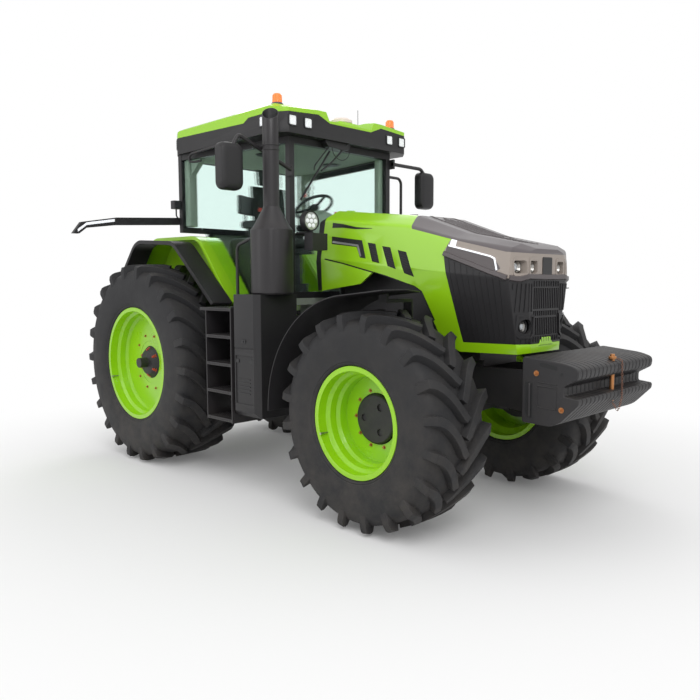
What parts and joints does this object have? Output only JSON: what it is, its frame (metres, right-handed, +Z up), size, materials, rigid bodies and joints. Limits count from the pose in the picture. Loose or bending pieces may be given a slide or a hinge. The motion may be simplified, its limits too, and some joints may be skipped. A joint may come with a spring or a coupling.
{
  "type": "row-crop farm tractor",
  "caption": "Four-wheel-drive farm tractor with front weights, four-post cab, tip-up hood, side exhaust and rear three-point linkage.",
  "frame": {"origin": "on the ground under the middle of the whole outline", "axes": "+X forward, +Y to the tractor's left, +Z up"},
  "size_m": [5.7249, 3.84, 3.4],
  "materials": {
    "tyre": "moulded tread rubber",
    "green_paint": "gloss lime paint",
    "rim_paint": "gloss lime paint",
    "black_steel": "satin black paint",
    "cast_black": "painted casting",
    "dark_plastic": "grained black moulding",
    "grey_plastic": "satin grey moulding",
    "taupe_plastic": "satin taupe moulding",
    "lamp": "clear lens over a bright reflector",
    "amber": "amber lens",
    "window": "green-tinted glass",
    "seat_cloth": "woven cloth",
    "steel": "worn bright steel",
    "pin_steel": "zinc plated steel",
    "cab_lining": "grained grey moulding"
  },
  "bodies": {
    "wheel_front_left": {"tyre_front_left": "tyre", "rim_front_left": "rim_paint", "hub_front_left": "cast_black"},
    "wheel_front_right": {"tyre_front_right": "tyre", "rim_front_right": "rim_paint", "hub_front_right": "cast_black"},
    "wheel_rear_left": {"tyre_rear_left": "tyre", "rim_rear_left": "rim_paint", "hub_rear_left": "cast_black"},
    "wheel_rear_right": {"tyre_rear_right": "tyre", "rim_rear_right": "rim_paint", "hub_rear_right": "cast_black"},
    "knuckle_left": {"knuckle_left": "cast_black", "mudguard_left": "dark_plastic"},
    "knuckle_right": {"knuckle_right": "cast_black", "mudguard_right": "dark_plastic"},
    "tie_rod": {"tie_rod": "black_steel"},
    "chassis": {"front_axle": "cast_black", "front_frame": "cast_black", "engine": "cast_black", "radiator": "black_steel", "transmission": "cast_black", "front_weights": "cast_black", "cab_frame": "dark_plastic", "cab_floor": "cab_lining", "roof_fascia": "dark_plastic", "roof_shell": "green_paint", "roof_lamps": "lamp", "beacons": "amber", "cab_glass": "window", "seat": "seat_cloth", "steering_console": "cab_lining", "exhaust": "black_steel", "side_box": "dark_plastic", "steps_left": "black_steel", "steps_right": "black_steel", "fuel_tank": "dark_plastic", "fenders": "green_paint", "fender_flares": "dark_plastic", "mirrors": "dark_plastic", "handrails": "black_steel", "marker_arms": "dark_plastic", "hitch": "cast_black", "tow_pin": "pin_steel", "cowl": "dark_plastic", "side_lamps": "dark_plastic"},
    "hood": {"hood_panels": "green_paint", "hood_top": "grey_plastic", "lamp_band": "taupe_plastic", "hood_grille": "dark_plastic", "headlamps": "lamp"},
    "door": {"door_frame": "dark_plastic", "door_glass": "window"},
    "lower_links": {"lower_links": "black_steel"},
    "lift_arms": {"lift_arms": "cast_black"},
    "lift_rods": {"lift_rods": "black_steel"},
    "pto_shaft": {"pto_shaft": "steel"}
  },
  "joints": [
    {"name": "steer_left", "type": "hinge", "parent": "chassis", "child": "knuckle_left", "pos_m": [1.4875, 0.74, 0.795], "axis": [0, 0, 1], "range_deg": [-28, 28]},
    {"name": "steer_right", "type": "hinge", "parent": "chassis", "child": "knuckle_right", "pos_m": [1.4875, -0.74, 0.795], "axis": [0, 0, 1], "range_deg": [-28, 28]},
    {"name": "tie_rod_slide", "type": "slide", "parent": "chassis", "child": "tie_rod", "axis": [0, -1, 0], "range_m": [-0.12, 0.12]},
    {"name": "front_left_roll", "type": "hinge", "parent": "knuckle_left", "child": "wheel_front_left", "pos_m": [1.4875, 0.93, 0.795], "axis": [0, 1, 0], "continuous": true},
    {"name": "front_right_roll", "type": "hinge", "parent": "knuckle_right", "child": "wheel_front_right", "pos_m": [1.4875, -0.93, 0.795], "axis": [0, 1, 0], "continuous": true},
    {"name": "rear_left_roll", "type": "hinge", "parent": "chassis", "child": "wheel_rear_left", "pos_m": [-1.5625, 0.921, 0.99], "axis": [0, 1, 0], "continuous": true},
    {"name": "rear_right_roll", "type": "hinge", "parent": "chassis", "child": "wheel_rear_right", "pos_m": [-1.5625, -0.921, 0.99], "axis": [0, 1, 0], "continuous": true},
    {"name": "hood_lift", "type": "hinge", "parent": "chassis", "child": "hood", "pos_m": [0.3875, 0, 2.355], "axis": [0, -1, 0], "range_deg": [0, 45]},
    {"name": "door_swing", "type": "hinge", "parent": "chassis", "child": "door", "pos_m": [-1.2715, 0.842, 2.3], "axis": [0, 0, 1], "range_deg": [0, 60]},
    {"name": "link_lift", "type": "hinge", "parent": "chassis", "child": "lower_links", "pos_m": [-1.8825, 0, 0.64], "axis": [0, 1, 0], "range_deg": [-10, 35]},
    {"name": "arm_lift", "type": "hinge", "parent": "chassis", "child": "lift_arms", "pos_m": [-1.8825, 0, 1.245], "axis": [0, 1, 0], "range_deg": [-10, 35]},
    {"name": "rod_swing", "type": "hinge", "parent": "lift_arms", "child": "lift_rods", "pos_m": [-2.3625, 0, 1.20371], "axis": [0, 1, 0], "range_deg": [-35, 10]},
    {"name": "pto_spin", "type": "hinge", "parent": "chassis", "child": "pto_shaft", "pos_m": [-2.0325, 0, 0.82], "axis": [1, 0, 0], "continuous": true}
  ],
  "couplings": [
    {"joint": "steer_right", "follows": "steer_left", "ratio": 1},
    {"joint": "tie_rod_slide", "follows": "steer_left", "m_per_rad": 0.22095},
    {"joint": "arm_lift", "follows": "link_lift", "ratio": 1},
    {"joint": "rod_swing", "follows": "link_lift", "ratio": -1}
  ]
}
